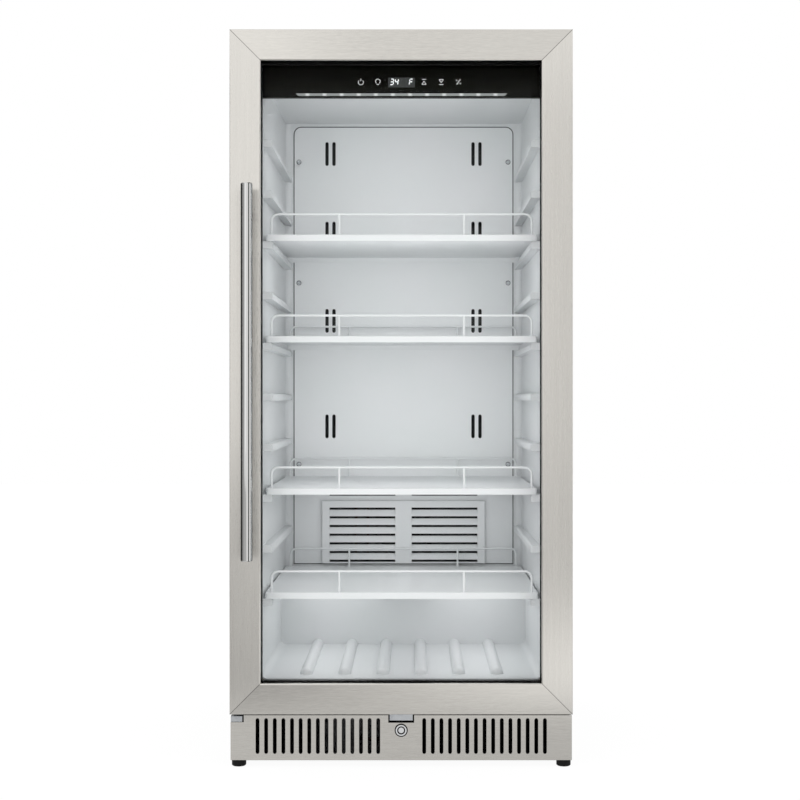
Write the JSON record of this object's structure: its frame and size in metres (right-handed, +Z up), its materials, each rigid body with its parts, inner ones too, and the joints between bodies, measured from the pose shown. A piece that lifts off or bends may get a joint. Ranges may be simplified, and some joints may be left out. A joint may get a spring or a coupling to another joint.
{
  "type": "beverage fridge",
  "caption": "Tall glass-door beverage fridge with framed door, bar handle, wire-guarded shelves and a vented plinth.",
  "frame": {"origin": "on the floor under the middle of the whole outline, handle included", "axes": "+Z up; +X to the right seen from the front; +Y to the back, so the door faces -Y"},
  "size_m": [0.595, 0.663, 1.2807],
  "materials": {
    "stainless_steel": "vertically or horizontally brushed",
    "polished_steel": "polished",
    "black_paint": "satin powder coat",
    "galvanised_steel": "zinc coated",
    "white_liner": "vacuum formed, satin",
    "white_coated_steel": "white powder coat",
    "black_plastic": "moulded, satin",
    "gloss_black": "high gloss",
    "display": "smoked",
    "circuit_board": "solder mask",
    "clear_lens": "diffusing",
    "clear_glass": "clear tempered",
    "black_rubber": "matt",
    "grey_rubber": "matt",
    "foam": "foamed",
    "aluminium": "mill finish",
    "copper": "drawn copper"
  },
  "bodies": {
    "cabinet": {"outer_cabinet": "black_paint", "machine_divider": "galvanised_steel", "insulation_foam": "foam", "inner_liner": "white_liner", "back_panel": "galvanised_steel", "base_pan": "black_paint", "kick_plate": "stainless_steel", "left_bracket": "galvanised_steel", "hinge_top": "galvanised_steel", "hinge_bottom": "galvanised_steel", "lock_body": "polished_steel", "control_housing": "black_plastic", "control_panel": "gloss_black", "display_module": "display", "led_strip": "circuit_board", "led_lens": "clear_lens", "rear_duct_panel": "white_liner", "evaporator_grille": "white_liner", "panel_screws": "galvanised_steel", "evaporator_coil": "aluminium", "evaporator_fan_shroud": "black_plastic", "condenser_fan_shroud": "black_plastic", "compressor": "black_paint", "compressor_mounts": "black_rubber", "condenser_coil": "aluminium", "refrigerant_pipes": "copper", "filter_drier": "copper", "drain_tube": "black_plastic", "drain_pan": "black_plastic", "machine_cover": "galvanised_steel", "cord_gland": "black_rubber"},
    "door": {"door_core": "black_plastic", "door_inner_frame": "black_plastic", "left_stile": "stainless_steel", "right_stile": "stainless_steel", "bottom_rail": "stainless_steel", "top_rail": "stainless_steel", "outer_glass": "clear_glass", "inner_glass": "clear_glass", "glass_spacer": "black_plastic", "door_gasket": "grey_rubber", "handle_bar": "stainless_steel", "handle_posts": "stainless_steel", "lock_keeper": "galvanised_steel"},
    "evaporator_fan": {"evaporator_fan_rotor": "black_plastic"},
    "condenser_fan": {"condenser_fan_rotor": "black_plastic"},
    "lock": {"lock_plug": "polished_steel", "lock_cam": "galvanised_steel"},
    "shelf_1": {"shelf_1": "white_coated_steel", "shelf_1_fence": "white_coated_steel"},
    "shelf_2": {"shelf_2": "white_coated_steel", "shelf_2_fence": "white_coated_steel"},
    "shelf_3": {"shelf_3": "white_coated_steel", "shelf_3_fence": "white_coated_steel"},
    "shelf_4": {"shelf_4": "white_coated_steel", "shelf_4_fence": "white_coated_steel"},
    "foot_front_left": {"foot_front_left": "black_plastic"},
    "foot_front_right": {"foot_front_right": "black_plastic"},
    "foot_rear_left": {"foot_rear_left": "black_plastic"},
    "foot_rear_right": {"foot_rear_right": "black_plastic"}
  },
  "joints": [
    {"name": "door_hinge", "type": "hinge", "parent": "cabinet", "child": "door", "pos_m": [0.285, -0.2605, 0.68675], "axis": [0, 0, 1], "range_deg": [0, 110]},
    {"name": "shelf_1_slide", "type": "slide", "parent": "cabinet", "child": "shelf_1", "axis": [0, -1, 0], "range_m": [0, 0.026]},
    {"name": "shelf_2_slide", "type": "slide", "parent": "cabinet", "child": "shelf_2", "axis": [0, -1, 0], "range_m": [0, 0.026]},
    {"name": "shelf_3_slide", "type": "slide", "parent": "cabinet", "child": "shelf_3", "axis": [0, -1, 0], "range_m": [0, 0.026]},
    {"name": "shelf_4_slide", "type": "slide", "parent": "cabinet", "child": "shelf_4", "axis": [0, -1, 0], "range_m": [0, 0.026]},
    {"name": "evaporator_fan_spin", "type": "hinge", "parent": "cabinet", "child": "evaporator_fan", "pos_m": [0, 0.236, 0.362], "axis": [0, 1, 0], "continuous": true},
    {"name": "condenser_fan_spin", "type": "hinge", "parent": "cabinet", "child": "condenser_fan", "pos_m": [0.134, -0.0965, 0.0545], "axis": [0, 1, 0], "continuous": true},
    {"name": "lock_turn", "type": "hinge", "parent": "cabinet", "child": "lock", "pos_m": [0, -0.2715, 0.0636], "axis": [0, 1, 0], "range_deg": [0, 90]},
    {"name": "foot_front_left_screw", "type": "hinge", "parent": "cabinet", "child": "foot_front_left", "pos_m": [-0.2835, -0.2595, 0.0055], "axis": [0, 0, 1], "range_deg": [0, 1800]},
    {"name": "foot_front_right_screw", "type": "hinge", "parent": "cabinet", "child": "foot_front_right", "pos_m": [0.2835, -0.2595, 0.0055], "axis": [0, 0, 1], "range_deg": [0, 1800]},
    {"name": "foot_rear_left_screw", "type": "hinge", "parent": "cabinet", "child": "foot_rear_left", "pos_m": [-0.2835, 0.3035, 0.0055], "axis": [0, 0, 1], "range_deg": [0, 1800]},
    {"name": "foot_rear_right_screw", "type": "hinge", "parent": "cabinet", "child": "foot_rear_right", "pos_m": [0.2835, 0.3035, 0.0055], "axis": [0, 0, 1], "range_deg": [0, 1800]}
  ]
}
